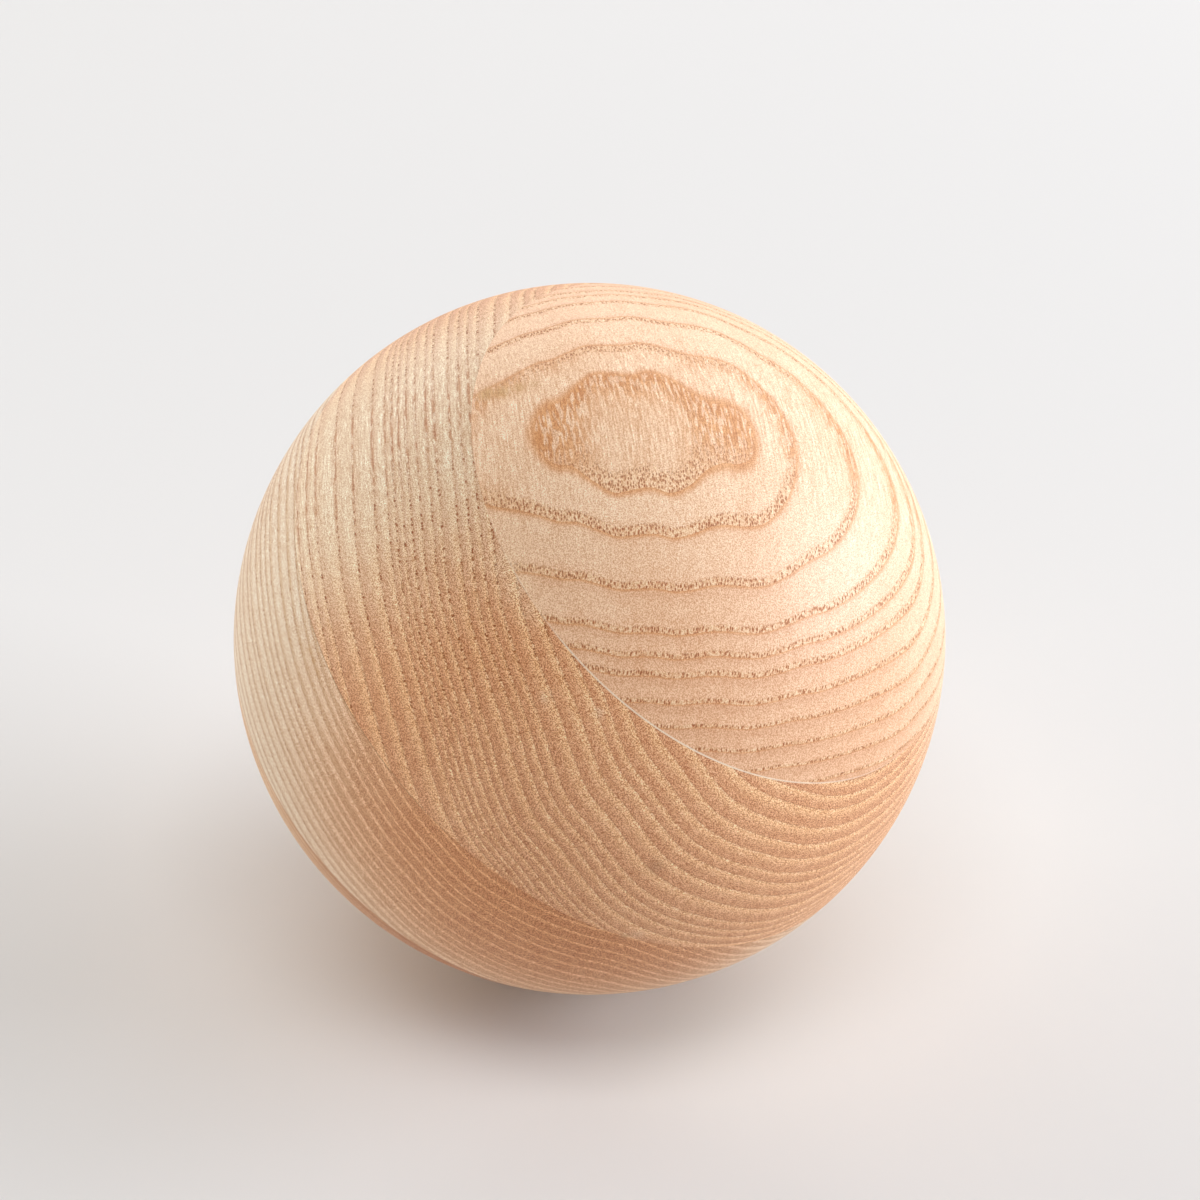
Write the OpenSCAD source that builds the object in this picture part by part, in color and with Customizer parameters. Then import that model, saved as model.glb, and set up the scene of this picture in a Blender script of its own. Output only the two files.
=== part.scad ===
// Wooden ball, turned from a stack of four flat boards glued face to face.
// Millimetres. The origin is the centre of the ball and +Z is up. The stack of
// boards leans over, as it does when the ball lies on a table.

/* [Ball] */
// Diameter of the turned ball
ball_d = 90; // [75:1:120]

/* [Boards] */
// Height of the top glue joint above the ball's centre, measured along the stack
top_joint_h = 28.8; // [24:0.1:35]
// Thickness of the upper middle board
upper_middle_t = 23.1; // [19:0.1:28]
// Thickness of the lower middle board
lower_middle_t = 25; // [20:0.1:30]

/* [Lie] */
// Lean of the stack away from upright, in degrees
stack_lean = 40; // [0:1:90]
// Heading of the lean, in degrees about +Z, counted from +X
stack_heading = -31; // [-180:1:180]

/* [Hidden] */

// Heights of the other two glue joints, measured like the top one
middle_joint_h = top_joint_h - upper_middle_t;
bottom_joint_h = middle_joint_h - lower_middle_t;

// Radius of the ball, and a height along the stack that is clear of it
ball_r = ball_d / 2;
clear_h = ball_d;

// Colours of the boards: creamy flat-sawn face, then warmer striped ones
top_wood = "#e9cfae";
upper_middle_wood = "#d9b48c";
lower_middle_wood = "#d3ab80";
bottom_wood = "#cda276";

// The slice of the ball between two heights along the leaning stack
module board(low_h, high_h) {
    rotate([0, stack_lean, stack_heading])
        intersection() {
            sphere(r = ball_r, $fn = 96);
            translate([-clear_h, -clear_h, low_h])
                cube([2 * clear_h, 2 * clear_h, high_h - low_h]);
        }
}

// Cap cut from the flat-sawn board
module top_board() {
    color(top_wood) board(top_joint_h, clear_h);
}

// Full board under the cap
module upper_middle_board() {
    color(upper_middle_wood) board(middle_joint_h, top_joint_h);
}

// Full board through the lower half
module lower_middle_board() {
    color(lower_middle_wood) board(bottom_joint_h, middle_joint_h);
}

// Cap cut from the last board
module bottom_board() {
    color(bottom_wood) board(-clear_h, bottom_joint_h);
}

top_board();
upper_middle_board();
lower_middle_board();
bottom_board();
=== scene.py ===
import math

import bpy
import numpy as np
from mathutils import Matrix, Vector


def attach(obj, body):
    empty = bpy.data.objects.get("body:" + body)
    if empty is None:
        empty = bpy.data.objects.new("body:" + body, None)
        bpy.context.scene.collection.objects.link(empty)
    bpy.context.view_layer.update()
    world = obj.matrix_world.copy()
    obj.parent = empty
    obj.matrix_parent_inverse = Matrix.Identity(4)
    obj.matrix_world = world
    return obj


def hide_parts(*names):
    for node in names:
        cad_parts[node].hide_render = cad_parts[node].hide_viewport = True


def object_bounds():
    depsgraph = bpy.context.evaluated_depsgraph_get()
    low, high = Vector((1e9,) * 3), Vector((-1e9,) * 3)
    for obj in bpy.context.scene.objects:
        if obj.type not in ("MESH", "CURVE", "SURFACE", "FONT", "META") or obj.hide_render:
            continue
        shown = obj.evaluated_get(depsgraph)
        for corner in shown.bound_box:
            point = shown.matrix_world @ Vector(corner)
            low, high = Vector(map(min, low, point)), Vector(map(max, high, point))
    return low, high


# Wooden ball: four glued boards of ash, each a slice of the ball with its own tree rings.
# Shapes and places are worked out in millimetres about the ball's centre, then scaled to metres.

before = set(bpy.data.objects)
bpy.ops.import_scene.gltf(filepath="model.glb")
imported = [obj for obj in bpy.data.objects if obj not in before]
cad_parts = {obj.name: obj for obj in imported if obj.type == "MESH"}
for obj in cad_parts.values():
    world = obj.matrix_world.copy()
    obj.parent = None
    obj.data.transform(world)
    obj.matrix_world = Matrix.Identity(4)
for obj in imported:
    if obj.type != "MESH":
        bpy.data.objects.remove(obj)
cad_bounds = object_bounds()

MM = 0.001


def direction(heading, elevation):
    """The way from the ball, by heading (0 the camera's side, 90 the right) and elevation."""
    turn, rise = math.radians(heading), math.radians(elevation)
    return math.sin(turn) * math.cos(rise), -math.cos(turn) * math.cos(rise), math.sin(rise)


# ---------------------------------------------------------------- frame of the stack of boards
# How far the stack leans, and which way (0 to the right, -90 to the camera), as in the CAD.
STACK_LEAN = 40
STACK_HEADING = -31


def unit(vector):
    """The vector made one long."""
    vector = np.asarray(vector, float)
    return vector / np.linalg.norm(vector)


def stack_axes():
    """Up along the stack of boards, and two directions square to it, the first one level."""
    lean, heading = math.radians(STACK_LEAN), math.radians(STACK_HEADING)
    up = np.array([
        math.sin(lean) * math.cos(heading),
        math.sin(lean) * math.sin(heading),
        math.cos(lean),
    ])
    level = unit(np.cross([0, 0, 1], up))
    return up, level, np.cross(up, level)


STACK_UP, STACK_LEVEL, STACK_SIDE = stack_axes()
LOW_CORNER = np.array(cad_bounds[0])
HIGH_CORNER = np.array(cad_bounds[1])
CENTRE = (LOW_CORNER + HIGH_CORNER) / 2
BALL_R = (HIGH_CORNER - LOW_CORNER).min() / 2 / MM


def heights(node):
    """Lowest and highest point of a CAD board along the stack, in mm from the ball's centre."""
    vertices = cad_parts[node].data.vertices
    points = np.array([v.co for v in vertices], float)
    along = (points - CENTRE) @ STACK_UP / MM
    return float(along.min()), float(along.max())


# ---------------------------------------------------------------- how each board was sawn
# fibre: direction of the fibres. pith: where the middle of the log was. pith_side: -1 when the
# pith lies under the board and 1 when it lies over it. bow: bend of the log, across and sideways,
# which goes on straight past bow_reach.
# first_ring and ring_widths: radius of the innermost ring that the photo shows, and the widths
# of the rings outside it. usual_width: the rings that the photo doesn't show.
# waves: (angle about the pith in degrees, how far the rings are pushed inwards in mm at the
# radius wave_radius). Where a log's outer rings have other waves, outer_waves takes over between
# the two wave_change radii.
# The first three boards were fitted to the rings that the photo shows, and the values rounded.
BOARDS = {
    "top_board": {
        "fibre": (-0.171, 0.896, 0.409),
        "pith": (-2.3, 8.8, -11.9),
        "pith_side": -1,
        "bow": (-0.0122, 0.0012),
        "bow_reach": 45,
        "first_ring": 50.05,
        "ring_widths": [1.23, 1.24, 1.13, 1.12, 0.71, 0.8, 1.24, 1.13, 0.62, 0.5],
        "usual_width": 1.3,
        "wave_radius": 78.8,
        "waves": [
            (-45, 0.32), (-42, 0.16), (-40, 0.02), (-38, -0.05), (-36, -0.07), (-34, -0.17),
            (-32, -0.11), (-30, -0.03), (-28, -0.12), (-26, -0.17), (-24, -0.09), (-22, -0.15),
            (-20, -0.25), (-18, -0.22), (-16, -0.09), (-14, 0.01), (-11, -0.07), (-8, -0.2),
            (-5, -0.1), (-2, -0.09), (4, -0.02), (8, 0.11), (12, 0.29), (20, 0),
        ],
        "seed": 1,
    },
    "upper_middle_board": {
        "fibre": (-0.085, 0.941, 0.327),
        "pith": (46.5, -9.9, 48.8),
        "pith_side": 1,
        "bow": (0, 0),
        "bow_reach": 0,
        "first_ring": 44.65,
        "ring_widths": [
            2.15, 2.0, 1.9, 1.95, 1.3, 1.6, 1.8, 1.95, 1.2, 1.05, 1.2, 1.7,
            0.9, 1.25, 1.1, 0.95, 0.8, 0.85, 1.55, 2.55, 2.25, 2.8, 1.35,
        ],
        "usual_width": 1.7,
        "wave_radius": 63,
        "waves": [
            (-56, 0.2), (-52, 0.35), (-48, 0.35), (-44, 0.05), (-40, 0.6), (-36, 1.25),
            (-32, 1.1), (-28, 0.8), (-24, 1.15), (-20, 0.95), (-16, 0.55), (-12, 0.55),
            (-4, 0.55), (2, -0.1), (8, -0.65), (14, -0.9), (20, -1.3),
        ],
        "outer_waves": [
            (-56, -0.3), (-52, -0.25), (-48, -0.4), (-44, -0.75), (-40, -0.4), (-36, -0.5),
            (-32, -1.1), (-28, -1.55), (-24, -1.2), (-20, -1.5), (-16, -1.95), (-12, -2.2),
            (-4, -2.35), (2, -2.55), (8, -2.7), (14, -1.35), (20, -0.1),
        ],
        "wave_change": (53, 66),
        "seed": 2,
    },
    "lower_middle_board": {
        "fibre": (-0.026, 0.999, 0.022),
        "pith": (41.7, -18.8, 37.6),
        "pith_side": 1,
        "bow": (0.0277, -0.0306),
        "bow_reach": 27,
        "first_ring": 72.14,
        "ring_widths": [1.35, 1.4, 1.25, 0.85, 1.25, 1.45, 1.5, 0.9, 1.0, 0.95, 1.45, 0.75],
        "usual_width": 1.3,
        "wave_radius": 67.5,
        "waves": [
            (-42, 0.4), (-38, 0.5), (-34, 0.6), (-30, 0.6), (-26, 0.45), (-22, 0.05),
            (-18, -0.4), (-14, -0.8), (-10, -1.35), (-6, -1.4), (-2, -1.15), (2, -0.5),
            (6, 0.45), (10, 0.45), (16, 0),
        ],
        "seed": 3,
    },
    "bottom_board": {
        "fibre": (0.10, 0.97, 0.22),
        "pith": (34, -12, 62),
        "pith_side": 1,
        "bow": (0, 0),
        "bow_reach": 0,
        "first_ring": 90,
        "ring_widths": [1.2, 1.5, 1.3, 1.7],
        "usual_width": 1.4,
        "wave_radius": 80,
        "waves": [(-40, 0), (-30, 0.4), (-20, -0.3), (-10, 0.3), (0, -0.2), (10, 0.3), (20, 0)],
        "seed": 4,
    },
}
RADIUS_RANGE = (5, 140)
INVENTED_WIDTH = (0.7, 1.3)


def smooth_curve(x, points):
    """A smooth curve through the points, level beyond the first and the last of them."""
    places = np.array([point[0] for point in points], float)
    values = np.array([point[1] for point in points], float)
    slopes = np.gradient(values, places)
    slopes[0] = slopes[-1] = 0
    x = np.clip(x, places[0], places[-1])
    before = np.clip(np.searchsorted(places, x) - 1, 0, len(places) - 2)
    after = before + 1
    step = places[after] - places[before]
    t = (x - places[before]) / step
    start = (1 + 2 * t) * (1 - t) ** 2 * values[before] + t * (1 - t) ** 2 * step * slopes[before]
    end = t * t * (3 - 2 * t) * values[after] + t * t * (t - 1) * step * slopes[after]
    return start + end


def ring_radii(board):
    """Radii of all the rings of a board's log: the counted ones, and invented ones beyond, whose
    widths are the usual width times something in INVENTED_WIDTH."""
    random = np.random.default_rng(board["seed"])
    radii = list(board["first_ring"] + np.cumsum([0] + board["ring_widths"]))
    while radii[0] > RADIUS_RANGE[0]:
        radii.insert(0, radii[0] - board["usual_width"] * random.uniform(*INVENTED_WIDTH))
    while radii[-1] < RADIUS_RANGE[1]:
        radii.append(radii[-1] + board["usual_width"] * random.uniform(*INVENTED_WIDTH))
    return np.array(radii)


def in_the_log(points, board):
    """Where points lie in the board's log: (along, across, sideways) and (age, ring width, angle).
    The whole part of the age counts the rings, and the rest says how far through its ring it is."""
    fibre = unit(board["fibre"])
    across = unit(STACK_UP - (STACK_UP @ fibre) * fibre)
    sideways = np.cross(fibre, across)
    from_pith = points - board["pith"]
    along = from_pith @ fibre
    reach = np.clip(along, -board["bow_reach"], board["bow_reach"])
    bend = reach * along - 0.5 * reach ** 2
    u = from_pith @ across - board["bow"][0] * bend
    v = from_pith @ sideways - board["bow"][1] * bend
    radius = np.hypot(u, v)
    angle = np.arctan2(v, -board["pith_side"] * u)
    wave = smooth_curve(np.degrees(angle), board["waves"])
    if "outer_waves" in board:
        outer_wave = smooth_curve(np.degrees(angle), board["outer_waves"])
        start, end = board["wave_change"]
        wave += (outer_wave - wave) * np.clip((radius - start) / (end - start), 0, 1)
    ring_radius = radius * (1 + wave / board["wave_radius"])
    radii = ring_radii(board)
    age = np.interp(ring_radius, radii, np.arange(len(radii)))
    width = np.diff(radii)[np.clip(age.astype(int), 0, len(radii) - 2)]
    return np.stack([along, u, v], 1), np.stack([age, width, angle], 1)


# ---------------------------------------------------------------- seams and marks
# glue: a pale squeezed-out line along the top joint. hair: a dark gap along the middle joint.
# Each is (heading about the stack in degrees, how strongly it shows).
GLUE_JOINT = heights("top_board")[0]
HAIR_JOINT = heights("lower_middle_board")[1]
GLUE_LINE = [
    (-180, 0.7), (-160, 0.8), (-130, 0.65), (-112, 0.4), (-98, 0.1), (-60, 0), (0, 0.2), (60, 0),
    (135, 0), (155, 0.05), (165, 0.3), (171, 0.1), (176, 0.35), (180, 0.7),
]
HAIR_LINE = [
    (-180, 0.5), (-176, 0.3), (-170, 0.1), (-150, 0), (-60, 0.1), (30, 0.2), (120, 0), (138, 0.2),
    (150, 0.5), (170, 0.6), (180, 0.5),
]
# Each mark is kind, heading (0 is the camera's side, 90 the right) and elevation in degrees, size
# in mm, and strength. tan: a stain. dark: a smudge. pale: a rubbed spot.
MARK_KINDS = ["tan", "dark", "pale"]
MARKS = [
    ("tan", -37, 65.2, 1.0, 1.0),
    ("tan", -32, 66.3, 1.0, 0.95),
    ("tan", -27, 67.8, 0.9, 0.8),
    ("tan", -22, 69.0, 0.7, 0.5),
    ("tan", -48, 20.0, 0.45, 0.6),
    ("tan", -46.5, 18.9, 0.4, 0.6),
    ("tan", -45, 17.9, 0.4, 0.6),
    ("dark", 9.5, -3.4, 1.0, 0.24),
    ("dark", 5.4, -18.0, 0.6, 0.25),
    ("pale", 7.4, -17.6, 0.7, 0.25),
    ("pale", -6.2, 22.8, 0.6, 0.4),
    ("pale", 1.6, 20.9, 0.5, 0.45),
    ("pale", -14.5, 40.2, 1.6, 0.35),
    ("pale", -12.0, 37.4, 1.5, 0.35),
    ("pale", -9.4, 34.4, 1.3, 0.25),
]


# ---------------------------------------------------------------- meshes of the boards
# Points round each joint, and mm from one row of points to the next.
RIM_SIDES = 800
ROW_STEP = 0.36

# Places in the UV square, which the baked finish uses: a belt's round face is cut into strips that
# lie one over another, and a cap's is one disc. The flat joint faces, hidden in the ball, are small
# discs given as (x, y, radius).
BELT_STRIPS = 3
STRIP_PITCH = 0.31
STRIP_HEIGHT = 0.97
UV_MARGIN = 0.005
UV_WIDTH = 0.99
CAP_DISC_RADIUS = 0.495
LOW_JOINT_DISC = (0.04, 0.965, 0.03)
HIGH_JOINT_DISC = (0.12, 0.965, 0.03)
CAP_JOINT_DISC = (0.06, 0.06, 0.05)


def on_ball(height, heading):
    """Points on the ball at a height along the stack and a heading about it, in radians."""
    reach = np.sqrt(np.maximum(BALL_R ** 2 - height ** 2, 0))
    level = np.multiply.outer(reach * np.cos(heading), STACK_LEVEL)
    side = np.multiply.outer(reach * np.sin(heading), STACK_SIDE)
    return np.multiply.outer(height, STACK_UP) + level + side


def belt(low, high):
    """A board that is cut by a joint on both faces: points, faces, UV corners of each face, and how
    many of the faces are on the ball's round surface. Those come first."""
    low_angle, high_angle = math.asin(low / BALL_R), math.asin(high / BALL_R)
    rows = round(BALL_R * (high_angle - low_angle) / ROW_STEP)
    angle = np.linspace(low_angle, high_angle, rows + 1)
    heading = np.arange(RIM_SIDES) * 2 * math.pi / RIM_SIDES
    height_grid, heading_grid = np.meshgrid(BALL_R * np.sin(angle), heading, indexing="ij")
    points = on_ball(height_grid.ravel(), heading_grid.ravel())
    points = np.vstack([points, STACK_UP * low, STACK_UP * high])
    low_centre, high_centre = len(points) - 2, len(points) - 1

    strip_columns = math.ceil(RIM_SIDES / BELT_STRIPS)
    faces, uvs = [], []
    for row in range(rows):
        for column in range(RIM_SIDES):
            corner = row * RIM_SIDES + column
            beside = row * RIM_SIDES + (column + 1) % RIM_SIDES
            faces.append((corner, beside, beside + RIM_SIDES, corner + RIM_SIDES))
            strip = column // strip_columns
            left = UV_MARGIN + UV_WIDTH * (column - strip * strip_columns) / strip_columns
            right = left + UV_WIDTH / strip_columns
            bottom = UV_MARGIN + STRIP_PITCH * (strip + row / rows * STRIP_HEIGHT)
            top = bottom + STRIP_PITCH * STRIP_HEIGHT / rows
            uvs.append(((left, bottom), (right, bottom), (right, top), (left, top)))
    last = rows * RIM_SIDES
    for column in range(RIM_SIDES):
        following = (column + 1) % RIM_SIDES
        faces.append((low_centre, following, column))
        uvs.append(disc_corner(LOW_JOINT_DISC, following, column))
        faces.append((high_centre, last + column, last + following))
        uvs.append(disc_corner(HIGH_JOINT_DISC, column, following))
    return points, faces, uvs, rows * RIM_SIDES


def disc_corner(disc, first, second):
    """UV corners of one triangle of a flat joint face, from its middle to two points of its rim."""
    x, y, radius = disc
    corners = [(x, y)]
    for side in (first, second):
        turn = side * 2 * math.pi / RIM_SIDES
        corners.append((x + radius * math.cos(turn), y + radius * math.sin(turn)))
    return tuple(corners)


def cap(joint, sign):
    """A board that ends in the ball's own top (sign 1) or bottom (sign -1): a square grid pressed
    into a disc and bent over the ball. Gives what belt gives."""
    cells = RIM_SIDES // 4
    line = np.linspace(-1, 1, cells + 1)
    y, x = np.meshgrid(line, line, indexing="ij")
    wide = np.abs(x) > np.abs(y)
    reach = np.where(wide, x, y)
    safe = np.where(reach == 0, 1, reach)
    turn = np.where(wide, math.pi / 4 * y / safe, math.pi / 2 - math.pi / 4 * x / safe)
    turn = np.where(reach < 0, turn + math.pi, turn)
    reach = np.abs(reach)
    pole_angle = math.acos(sign * joint / BALL_R) * reach
    height = sign * BALL_R * np.cos(pole_angle)
    heading = sign * turn
    points = on_ball(height.ravel(), heading.ravel())
    points = np.vstack([points, STACK_UP * joint])
    centre = len(points) - 1

    disc_u = (0.5 + CAP_DISC_RADIUS * reach * np.cos(turn)).ravel()
    disc_v = (0.5 + CAP_DISC_RADIUS * reach * np.sin(turn)).ravel()
    across = cells + 1
    faces, uvs = [], []
    for row in range(cells):
        for column in range(cells):
            first = row * across + column
            corners = (first, first + 1, first + across + 1, first + across)
            faces.append(corners)
            uvs.append(tuple((disc_u[corner], disc_v[corner]) for corner in corners))
    rim = list(range(cells))
    rim += [i * across + cells for i in range(cells)]
    rim += [cells * across + cells - i for i in range(cells)]
    rim += [(cells - i) * across for i in range(cells)]
    for side in range(RIM_SIDES):
        following = (side + 1) % RIM_SIDES
        faces.append((centre, rim[following], rim[side]))
        uvs.append(disc_corner(CAP_JOINT_DISC, following, side))
    return points, faces, uvs, cells * cells


def set_attribute(mesh, name, values):
    """Stores one vector for each vertex, for the material to read."""
    layer = mesh.attributes.new(name, "FLOAT_VECTOR", "POINT")
    layer.data.foreach_set("vector", np.asarray(values, np.float32).ravel())


def seam_strength(heading, strengths):
    """How strongly a seam shows round its joint, at headings in degrees about the stack."""
    return np.clip(smooth_curve(heading, strengths), 0, 1)


def marks_on(points):
    """Strength of the tan, dark and pale marks at points, between 0 and 1."""
    found = np.zeros((len(points), len(MARK_KINDS)))
    for kind, heading, elevation, size, strength in MARKS:
        middle = BALL_R * np.array(direction(heading, elevation))
        away = np.linalg.norm(points - middle, axis=1) / size
        column = found[:, MARK_KINDS.index(kind)]
        column[:] = np.maximum(column, strength * np.exp(-away ** 2))
    return found


# How near to a joint face and to the round face, in mm, a point counts as lying on it
NEAR_JOINT = 1e-4
NEAR_ROUND = 1e-3


def sharpen_rims(mesh, points, joints):
    """Marks the edges where the round face meets a flat joint face, so that neither is shaded as
    if it rolled over into the other."""
    height = points @ STACK_UP
    reach = np.linalg.norm(points, axis=1)
    on_rim = np.zeros(len(points), bool)
    for joint in joints:
        on_rim |= (np.abs(height - joint) < NEAR_JOINT) & (reach > BALL_R - NEAR_ROUND)
    ends = np.empty(len(mesh.edges) * 2, np.int32)
    mesh.edges.foreach_get("vertices", ends)
    sharp = on_rim[ends.reshape(-1, 2)].all(axis=1)
    mesh.attributes.new("sharp_edge", "BOOLEAN", "EDGE").data.foreach_set("value", sharp)


def board_object(node, material):
    """The visual board that stands for a CAD node, with its log coordinates on its vertices."""
    low, high = heights(node)
    if node == "top_board":
        points, faces, uvs, round_faces = cap(low, 1)
    elif node == "bottom_board":
        points, faces, uvs, round_faces = cap(high, -1)
    else:
        points, faces, uvs, round_faces = belt(low, high)
    mesh = bpy.data.meshes.new(node + "_wood")
    mesh.from_pydata(points * MM + CENTRE, [], faces)
    mesh.polygons.foreach_set("use_smooth", [i < round_faces for i in range(len(faces))])
    sharpen_rims(mesh, points, (low, high))
    uv_layer = mesh.uv_layers.new(name="OFBake")
    flat = [value for face in uvs for corner in face for value in corner]
    uv_layer.data.foreach_set("uv", flat)
    place, rings = in_the_log(points, BOARDS[node])
    set_attribute(mesh, "log_place", place)
    set_attribute(mesh, "rings", rings)
    end_grain = np.abs(points @ unit(BOARDS[node]["fibre"])) / BALL_R
    height = points @ STACK_UP
    heading = np.degrees(np.arctan2(points @ STACK_SIDE, points @ STACK_LEVEL))
    set_attribute(mesh, "cut", np.stack([
        end_grain, seam_strength(heading, GLUE_LINE), seam_strength(heading, HAIR_LINE),
    ], 1))
    set_attribute(mesh, "seams", np.stack([
        np.abs(height - GLUE_JOINT), np.abs(height - HAIR_JOINT), np.zeros(len(points)),
    ], 1))
    set_attribute(mesh, "marks", marks_on(points))
    mesh.materials.append(material)
    mesh.update()
    piece = bpy.data.objects.new(node + "_wood", mesh)
    bpy.context.scene.collection.objects.link(piece)
    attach(piece, "root")
    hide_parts(node)
    return piece


# ---------------------------------------------------------------- wood material
class Graph:
    """Short calls for making shader nodes."""

    def __init__(self, tree):
        self.tree = tree
        tree.nodes.clear()

    def node(self, kind, **settings):
        made = self.tree.nodes.new("ShaderNode" + kind)
        for name, value in settings.items():
            setattr(made, name, value)
        return made

    def feed(self, socket, value):
        """Links a socket to another, or sets it to a number or a colour."""
        if isinstance(value, bpy.types.NodeSocket):
            self.tree.links.new(value, socket)
        else:
            socket.default_value = value

    def math(self, operation, *values):
        made = self.node("Math", operation=operation)
        for socket, value in zip(made.inputs, values):
            self.feed(socket, value)
        return made.outputs[0]

    def times(self, first, *others):
        """The product of all the values."""
        for other in others:
            first = self.math("MULTIPLY", first, other)
        return first

    def less(self, whole, value):
        """The whole less the value."""
        return self.math("SUBTRACT", whole, value)

    def ramp(self, value, low, high, to_low=0.0, to_high=1.0):
        """Goes smoothly from to_low to to_high as value goes from low to high."""
        made = self.node("MapRange", interpolation_type="SMOOTHSTEP")
        for socket, item in zip(made.inputs, (value, low, high, to_low, to_high)):
            self.feed(socket, item)
        return made.outputs[0]

    def fall(self, value, low, high):
        """Goes smoothly from 1 to 0 as value goes from low to high."""
        return self.ramp(value, low, high, 1.0, 0.0)

    def mix(self, factor, first, second, blend="MIX"):
        """The first colour where factor is 0, and the second where it is 1."""
        made = self.node("Mix", data_type="RGBA", blend_type=blend)
        self.feed(made.inputs["Factor"], factor)
        self.feed(made.inputs[6], first)
        self.feed(made.inputs[7], second)
        return made.outputs[2]

    def vector(self, x, y, z):
        made = self.node("CombineXYZ")
        for socket, value in zip(made.inputs, (x, y, z)):
            self.feed(socket, value)
        return made.outputs[0]

    def attribute(self, name):
        """The three numbers that a mesh stores under a name."""
        made = self.node("Attribute", attribute_name=name)
        split = self.node("SeparateXYZ")
        self.tree.links.new(made.outputs["Vector"], split.inputs[0])
        return split.outputs

    def noise(self, vector, scale, detail):
        made = self.node("TexNoise")
        self.feed(made.inputs["Vector"], vector)
        made.inputs["Scale"].default_value = scale
        made.inputs["Detail"].default_value = detail
        return made.outputs["Fac"]

    def cells(self, vector, randomness):
        """Distance from the middle of the nearest cell, the cells being about one apart."""
        made = self.node("TexVoronoi")
        self.feed(made.inputs["Vector"], vector)
        made.inputs["Scale"].default_value = 1.0
        made.inputs["Randomness"].default_value = randomness
        return made.outputs["Distance"]

    def random(self, value):
        made = self.node("TexWhiteNoise", noise_dimensions="1D")
        self.feed(made.inputs["W"], value)
        return made.outputs["Value"]


def srgb(text):
    """Linear colour of a hex colour, by the sRGB curve."""
    values = [int(text[i:i + 2], 16) / 255 for i in (0, 2, 4)]
    return tuple(((v + 0.055) / 1.055) ** 2.4 if v > 0.04045 else v / 12.92 for v in values) + (1,)


PORE = srgb("9a4c14")
PALE_WALL = srgb("ffe0b8")
TAN = srgb("d6a672")
SMUDGE = srgb("8a6c50")
HAIR = srgb("96683e")
GLUE = srgb("fdebd4")

# What each board's wood looks like, with painted shade in the bottom board's colours. A pair is
# for side grain and for end grain, except in vessel_rate and cut_range.
# light and late: colours of a ring's palest part and of its end. side_part and end_part: where in
# the ring (0 its start, 1 its end) the palest part is reached, begins to fade, and has gone.
# crest: how sharply the pale part peaks. line: colour of the ring's last dark edge, line_depth:
# how strong that is, and line_width: how wide in mm.
# pored: width of the band of vessels in mm. vessel_rate: vessels to a mm along the fibre and round
# the ring. vessels, walls and browning: how strongly the openings, the pale walls between them and
# the brown of their band show. speckle: how strong the fuzz of cut fibres is. fibres: strength of
# the fibre streaks. cut_range: how square to the fibre the cut is where it counts as side grain
# and where as end grain.
LOWER_BOARDS = {
    "side_part": (0.25, 0.6, 0.95),
    "end_part": (0.0, 0.1, 0.3),
    "crest": 1.0,
    "line_depth": (0.15, 0.25),
    "line_width": 0.1,
    "pored": 0.18,
    "vessel_rate": (1.6, 3.6),
    "vessels": (0.4, 0.2),
    "walls": 0.0,
    "browning": (0.2, 0.0),
    "speckle": (0.35, 0.6),
    "fibres": (0.22, 0.04),
    "cut_range": (0.5, 1.0),
}
WOODS = {
    "top_board": {
        "light": ("f6cda8", "eebb93"),
        "late": ("efc19b", "e4ae86"),
        "line": "d68f52",
        "side_part": (0.3, 0.8, 1.0),
        "end_part": (0.15, 0.4, 0.9),
        "crest": 1.0,
        "line_depth": (0.7, 0.7),
        "line_width": 0.1,
        "pored": 0.17,
        "vessel_rate": (2.2, 4.6),
        "vessels": (0.75, 0.75),
        "walls": 0.5,
        "browning": (0.45, 0.45),
        "speckle": (0.3, 0.3),
        "fibres": (0.22, 0.03),
        "cut_range": (0.2, 0.8),
    },
    "upper_middle_board": {
        "light": ("f1d5b4", "f3bc88"),
        "late": ("e9c7a4", "dc9c6e"),
        "line": "c07c4a",
        "side_part": (0.2, 0.5, 1.0),
        "end_part": (0.05, 0.15, 1.0),
        "crest": 2.5,
        "line_depth": (0.45, 0.5),
        "line_width": 0.12,
        "pored": 0.22,
        "vessel_rate": (1.9, 4.2),
        "vessels": (0.85, 0.3),
        "walls": 0.25,
        "browning": (0.3, 0.0),
        "speckle": (0.35, 0.6),
        "fibres": (0.22, 0.04),
        "cut_range": (0.1, 0.65),
    },
    "lower_middle_board": {
        **LOWER_BOARDS,
        "light": ("efd5b8", "efaf77"),
        "late": ("e1be98", "d28a56"),
        "line": "b47448",
    },
    # The bottom board's colours are darker and browner than the lower middle board's: partly the
    # board's own wood, partly painted shade for the ball's underside, which gets little light.
    "bottom_board": {
        **LOWER_BOARDS,
        "light": ("e9bf95", "c68251"),
        "late": ("d9a77a", "ad643a"),
        "line": "ac6e42",
    },
}

# Noises in the wood: how much of the way along the fibre counts, spots to a mm, and detail.
# speckle: fuzz of cut fibres. fibres and strands: fine and broad streaks along the grain.
# cloud: slow changes of colour. streaks: vessels that are cut along their length.
NOISES = {
    "speckle": (1.0, 8.0, 0.0),
    "fibres": (0.07, 5.0, 1.0),
    "strands": (0.05, 0.8, 2.0),
    "cloud": (0.4, 0.09, 2.0),
    "streaks": (0.2, 3.3, 0.0),
}
# Wood rays: spots to a mm along the fibre, outwards from the pith and round the ring.
RAY_RATE = (0.8, 0.4, 4.5)
# How far two of the noises and the rays shade the wood: the range of noise that counts, and how
# dark and how pale it makes it.
SHADES = {
    "strands": (0.3, 0.7, 0.97, 1.03),
    "cloud": (0.3, 0.7, 0.96, 1.04),
    "rays": (0.25, 0.75, 0.95, 1.05),
}
NOISE_RANGE = (0.25, 0.75)
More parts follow.
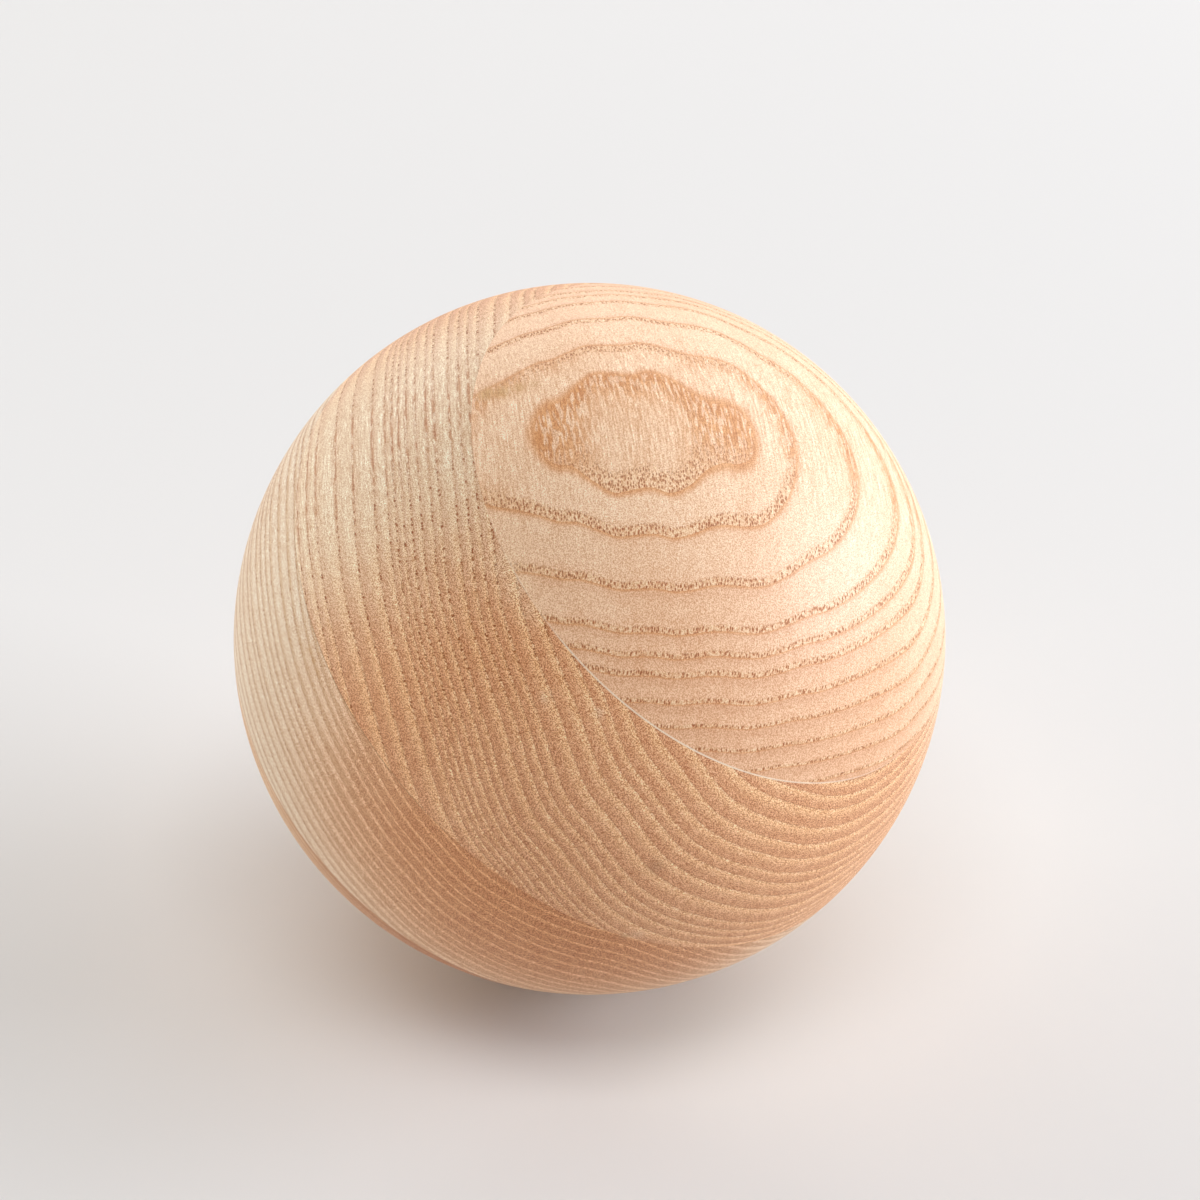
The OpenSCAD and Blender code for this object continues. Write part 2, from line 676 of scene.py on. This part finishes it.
# Wood that is darker is also browner: red changes least and blue most.
TINT_POWERS = (0.55, 1.0, 1.4)

# How square to the fibre the cut is (0 along it, 1 square across): vessels are streaks below the
# first range and close up in the second, and fibre streaks give out in the third.
LENGTHWISE = (0.08, 0.26)
ENDWISE = (0.6, 0.85)
FIBRES_GIVE_OUT = (0.05, 0.4)

# Vessels: how far the years' patterns lie apart, rows to a mm through the ring, and how unevenly
# the vessels lie.
SEED_STEP = 37.7
YEAR_STEP = 7.31
VESSEL_ROWS = 2.0
VESSEL_SCATTER = 0.9
# The vessel band's width differs from ring to ring: the least share of the usual, and the range.
BAND_LEAST = 0.85
BAND_RANGE = 0.3
# Shares of the band's width between which its vessels, and its lengthwise streaks, give out.
BAND_END = (0.8, 1.3)
STREAK_END = (0.3, 2.6)
# Distances from a vessel's middle between which its opening ends and its pale wall begins.
OPENING_END = (0.3, 0.42)
WALL_START = (0.46, 0.62)
# How much of the opening is lost where the vessel is cut along its length, and the streak there.
LENGTHWISE_LOSS = -0.65
STREAK = (0.42, 0.54, 0.1, 0.8)
# Just before a ring's start, so that no change of colour has a width of 0.
RING_START = -0.001

# Edges of the seam lines: mm from the joint between which each gives out.
HAIR_END = (0.02, 0.09)
GLUE_END = (0.03, 0.1)

ROUGHNESS = 0.5
VESSEL_ROUGHNESS = 0.2
SPECULAR_LEVEL = 0.5
RELIEF_STRENGTH = 0.4
RELIEF_DEPTH = 0.1 * MM
SPECKLE_RELIEF = 0.4


class Cut:
    """Where the surface of a board cuts its log, as sockets that the parts of the material use.
    year and part: the ring's number and how far through it a point lies, from 0 to 1. since: mm
    from the ring's start. luck: a number from 0 to 1 for each ring. around: mm round the ring.
    square: 0 on side grain and 1 on end grain. from_glue and from_hair: mm from each joint."""

    def __init__(self, graph, node):
        self.age, self.width, self.angle = graph.attribute("rings")
        self.place = graph.attribute("log_place")
        self.end_grain, self.glue, self.hair = graph.attribute("cut")
        self.from_glue, self.from_hair = graph.attribute("seams")[:2]
        self.marks = graph.attribute("marks")
        _, across, sideways = self.place
        self.year = graph.math("FLOOR", self.age)
        self.part = graph.math("FRACT", self.age)
        self.since = graph.times(self.part, self.width)
        self.luck = graph.random(graph.math("ADD", self.year, BOARDS[node]["seed"] * SEED_STEP))
        squares = graph.math("ADD", graph.times(across, across), graph.times(sideways, sideways))
        self.radius = graph.math("SQRT", squares)
        self.around = graph.times(self.angle, graph.less(self.radius, self.since))
        self.square = graph.ramp(self.end_grain, *WOODS[node]["cut_range"])
        self.lengthwise = graph.fall(self.end_grain, *LENGTHWISE)
        self.endwise = graph.ramp(self.end_grain, *ENDWISE)


def wood_noises(graph, cut):
    """The noises of the wood, by name."""
    along, across, sideways = cut.place
    found = {}
    for name, (stretch, scale, detail) in NOISES.items():
        place = graph.vector(graph.times(along, stretch), across, sideways)
        found[name] = graph.noise(place, scale, detail)
    ray_place = (along, cut.radius, cut.around)
    rays = graph.vector(*(graph.times(value, rate) for value, rate in zip(ray_place, RAY_RATE)))
    found["rays"] = graph.noise(rays, 1.0, 1.0)
    return found


def wood_vessels(graph, cut, look, noises):
    """Vessels: short dark openings with pale walls between them, crowded where the ring starts.
    Where the cut runs along the fibre they are streaks, and square across it they close up.
    Gives how strongly their band, openings, walls and streaks show."""
    rate_along, rate_around = look["vessel_rate"]
    place = graph.vector(
        graph.math("MULTIPLY_ADD", cut.year, YEAR_STEP, graph.times(cut.place[0], rate_along)),
        graph.times(cut.since, VESSEL_ROWS),
        graph.times(cut.around, rate_around),
    )
    distance = graph.cells(place, VESSEL_SCATTER)
    pored = look["pored"]
    band_width = graph.math("MULTIPLY_ADD", cut.luck, BAND_RANGE * pored, BAND_LEAST * pored)
    band = graph.fall(cut.since, *(graph.times(band_width, share) for share in BAND_END))
    kept = graph.math("MULTIPLY_ADD", cut.lengthwise, LENGTHWISE_LOSS, 1.0)
    opening = graph.times(graph.fall(distance, *OPENING_END), kept, band)
    wall = graph.ramp(distance, *WALL_START, 0.0, look["walls"])
    wall = graph.times(wall, band, graph.less(1.0, cut.lengthwise))
    streak_end = graph.fall(cut.since, *(graph.times(band_width, share) for share in STREAK_END))
    streak = graph.times(graph.ramp(noises["streaks"], *STREAK), cut.lengthwise, streak_end)
    return band, opening, wall, streak


def ring_colour(graph, cut, look):
    """Colour through the ring, from its pale part to the dark line at its end."""
    rise, fade, gone = (
        graph.ramp(cut.square, 0.0, 1.0, side, end)
        for side, end in zip(look["side_part"], look["end_part"])
    )
    light = graph.math("POWER", graph.fall(cut.part, fade, gone), look["crest"])
    light = graph.times(graph.ramp(cut.part, RING_START, rise), light)
    late_colour = graph.mix(cut.square, *(srgb(text) for text in look["late"]))
    light_colour = graph.mix(cut.square, *(srgb(text) for text in look["light"]))
    to_ring_end = graph.less(cut.width, cut.since)
    line_depth = graph.ramp(cut.square, 0.0, 1.0, *look["line_depth"])
    line = graph.ramp(to_ring_end, 0.0, look["line_width"], line_depth, 0.0)
    return graph.mix(line, graph.mix(light, late_colour, light_colour), srgb(look["line"]))


def add_vessels(graph, colour, cut, look, vessels):
    """The colour with the vessels on it."""
    band, opening, wall, streak = vessels
    line = srgb(look["line"])
    colour = graph.mix(streak, colour, line)
    browned = graph.ramp(cut.endwise, 0.0, 1.0, *look["browning"])
    browned = graph.times(band, browned, graph.less(1.0, cut.lengthwise))
    colour = graph.mix(browned, colour, line)
    colour = graph.mix(wall, colour, PALE_WALL)
    strength = graph.ramp(cut.endwise, 0.0, 1.0, *look["vessels"])
    return graph.mix(graph.times(opening, strength), colour, PORE)


def shade_wood(graph, colour, cut, look, noises):
    """The colour made darker and paler by fibres, strands, clouds and rays."""
    speckle_depth = graph.ramp(cut.square, 0.0, 1.0, *look["speckle"])
    fibre_depth = graph.ramp(cut.end_grain, *FIBRES_GIVE_OUT, *look["fibres"])
    shade = 1.0
    for name, depth in (("speckle", speckle_depth), ("fibres", fibre_depth)):
        extremes = (graph.less(1.0, depth), graph.math("ADD", 1.0, depth))
        shade = graph.times(shade, graph.ramp(noises[name], *NOISE_RANGE, *extremes))
    for name, limits in SHADES.items():
        shade = graph.times(shade, graph.ramp(noises[name], *limits))
    tint = graph.node("CombineColor")
    for socket, power in zip(tint.inputs, TINT_POWERS):
        graph.feed(socket, graph.math("POWER", shade, power))
    return graph.mix(1.0, colour, tint.outputs[0], "MULTIPLY")


def wood_material(node):
    """Ash: rings with a pored, paler start and a smooth, browner end, as sawn from one log."""
    look = WOODS[node]
    material = bpy.data.materials.new(node + "_ash")
    material.use_nodes = True
    graph = Graph(material.node_tree)
    cut = Cut(graph, node)
    noises = wood_noises(graph, cut)
    vessels = wood_vessels(graph, cut, look, noises)

    colour = ring_colour(graph, cut, look)
    colour = add_vessels(graph, colour, cut, look, vessels)
    for strength, mark_colour in zip(cut.marks, (TAN, SMUDGE, PALE_WALL)):
        colour = graph.mix(strength, colour, mark_colour)
    colour = shade_wood(graph, colour, cut, look, noises)
    colour = graph.mix(graph.times(graph.fall(cut.from_hair, *HAIR_END), cut.hair), colour, HAIR)
    colour = graph.mix(graph.times(graph.fall(cut.from_glue, *GLUE_END), cut.glue), colour, GLUE)

    _, opening, _, _ = vessels
    bump = graph.node("Bump")
    fuzz = graph.times(noises["speckle"], SPECKLE_RELIEF)
    graph.feed(bump.inputs["Height"], graph.less(fuzz, opening))
    bump.inputs["Strength"].default_value = RELIEF_STRENGTH
    bump.inputs["Distance"].default_value = RELIEF_DEPTH

    shader = graph.node("BsdfPrincipled")
    graph.feed(shader.inputs["Base Color"], colour)
    roughness = graph.math("MULTIPLY_ADD", opening, VESSEL_ROUGHNESS, ROUGHNESS)
    graph.feed(shader.inputs["Roughness"], roughness)
    graph.feed(shader.inputs["Normal"], bump.outputs[0])
    shader.inputs["Specular IOR Level"].default_value = SPECULAR_LEVEL
    output = graph.node("OutputMaterial")
    graph.feed(output.inputs["Surface"], shader.outputs[0])
    return material


# ---------------------------------------------------------------- floor, light and camera
FLOOR_HALF = 1.4
FLOOR_COLOUR = (0.77, 0.745, 0.725, 1)

LAMP_WIDTH = 2.2
LAMP_HEIGHT = 1.1
LAMP_DISTANCE = 3.0
# Name, heading (0 is the camera's side, 90 the right) and elevation in degrees, watts, colour, and
# whether it shows as a shine. The powers were fitted to the photo's light and shade, and rounded.
LAMPS = [
    ("window", 91, 16, 91, (0.94, 1.005, 1.1), True),
    ("high_right", 112, 40, 10.5, (1.0, 1.0, 1.03), True),
    ("back_right", 140, 30, 15, (0.96, 1.0, 1.04), True),
    ("back", 180, 32, 18, (1.0, 1.0, 1.0), True),
    ("back_left", 225, 30, 26, (1.0, 1.0, 0.98), True),
    ("overhead", 0, 68, 39, (1.0, 1.0, 1.0), False),
    ("left", 270, 11, 34, (0.97, 1.0, 0.98), False),
]

# How bright the sky is as light on the scene, and as it looks straight on or as a reflection.
SKY_LIGHT = 0.05
SKY_SEEN = 0.85
SKY_COLOUR = (1, 0.98, 0.96, 1)

# The camera's place in metres, its tilt up from straight down in degrees, and its lens in mm.
CAMERA_PLACE = (0.0013, -0.2200, 0.1326)
CAMERA_TILT = 60
CAMERA_LENS = 60
CAMERA_SENSOR = 36


def floor():
    """A pale floor under the ball, reaching half way to the lamps."""
    z = float(LOW_CORNER[2])
    mesh = bpy.data.meshes.new("floor")
    signs = [(-1, -1), (1, -1), (1, 1), (-1, 1)]
    corners = [(x * FLOOR_HALF, y * FLOOR_HALF, z) for x, y in signs]
    mesh.from_pydata(corners, [], [(0, 1, 2, 3)])
    material = bpy.data.materials.new("floor_stone")
    material.use_nodes = True
    shader = material.node_tree.nodes["Principled BSDF"]
    shader.inputs["Base Color"].default_value = FLOOR_COLOUR
    shader.inputs["Roughness"].default_value = 1.0
    shader.inputs["Specular IOR Level"].default_value = 0.0
    mesh.materials.append(material)
    piece = bpy.data.objects.new("floor", mesh)
    bpy.context.scene.collection.objects.link(piece)


def softbox(name, heading, elevation, watts, colour, shine):
    """A big soft lamp that faces the ball."""
    lamp = bpy.data.lights.new(name, "AREA")
    lamp.shape = "RECTANGLE"
    lamp.size = LAMP_WIDTH
    lamp.size_y = LAMP_HEIGHT
    lamp.energy = watts
    lamp.color = colour
    holder = bpy.data.objects.new(name, lamp)
    holder.location = LAMP_DISTANCE * Vector(direction(heading, elevation))
    holder.rotation_euler = (-holder.location).to_track_quat("-Z", "Y").to_euler()
    holder.visible_camera = False
    holder.visible_glossy = shine
    bpy.context.scene.collection.objects.link(holder)


def sky():
    """Even light from all round, seen as pale grey."""
    world = bpy.data.worlds.new("sky")
    world.use_nodes = True
    tree = world.node_tree
    back = tree.nodes["Background"]
    path = tree.nodes.new("ShaderNodeLightPath")
    seen = path.outputs["Is Camera Ray"]
    for ray in ("Is Glossy Ray", "Is Transmission Ray"):
        either = tree.nodes.new("ShaderNodeMath")
        either.operation = "MAXIMUM"
        tree.links.new(seen, either.inputs[0])
        tree.links.new(path.outputs[ray], either.inputs[1])
        seen = either.outputs[0]
    strength = tree.nodes.new("ShaderNodeMapRange")
    tree.links.new(seen, strength.inputs["Value"])
    strength.inputs["To Min"].default_value = SKY_LIGHT
    strength.inputs["To Max"].default_value = SKY_SEEN
    tree.links.new(strength.outputs[0], back.inputs["Strength"])
    back.inputs["Color"].default_value = SKY_COLOUR
    bpy.context.scene.world = world


def camera():
    """The photograph's view: from the front, 30 degrees up, with the ball low in the frame."""
    lens = bpy.data.cameras.new("camera")
    lens.sensor_width = CAMERA_SENSOR
    lens.lens = CAMERA_LENS
    holder = bpy.data.objects.new("camera", lens)
    holder.location = CAMERA_PLACE
    holder.rotation_euler = (math.radians(CAMERA_TILT), 0, 0)
    bpy.context.scene.collection.objects.link(holder)
    bpy.context.scene.camera = holder


for node_name in BOARDS:
    board = board_object(node_name, wood_material(node_name))
floor()
for lamp in LAMPS:
    softbox(*lamp)
sky()
camera()
bpy.context.scene.view_settings.view_transform = "Standard"
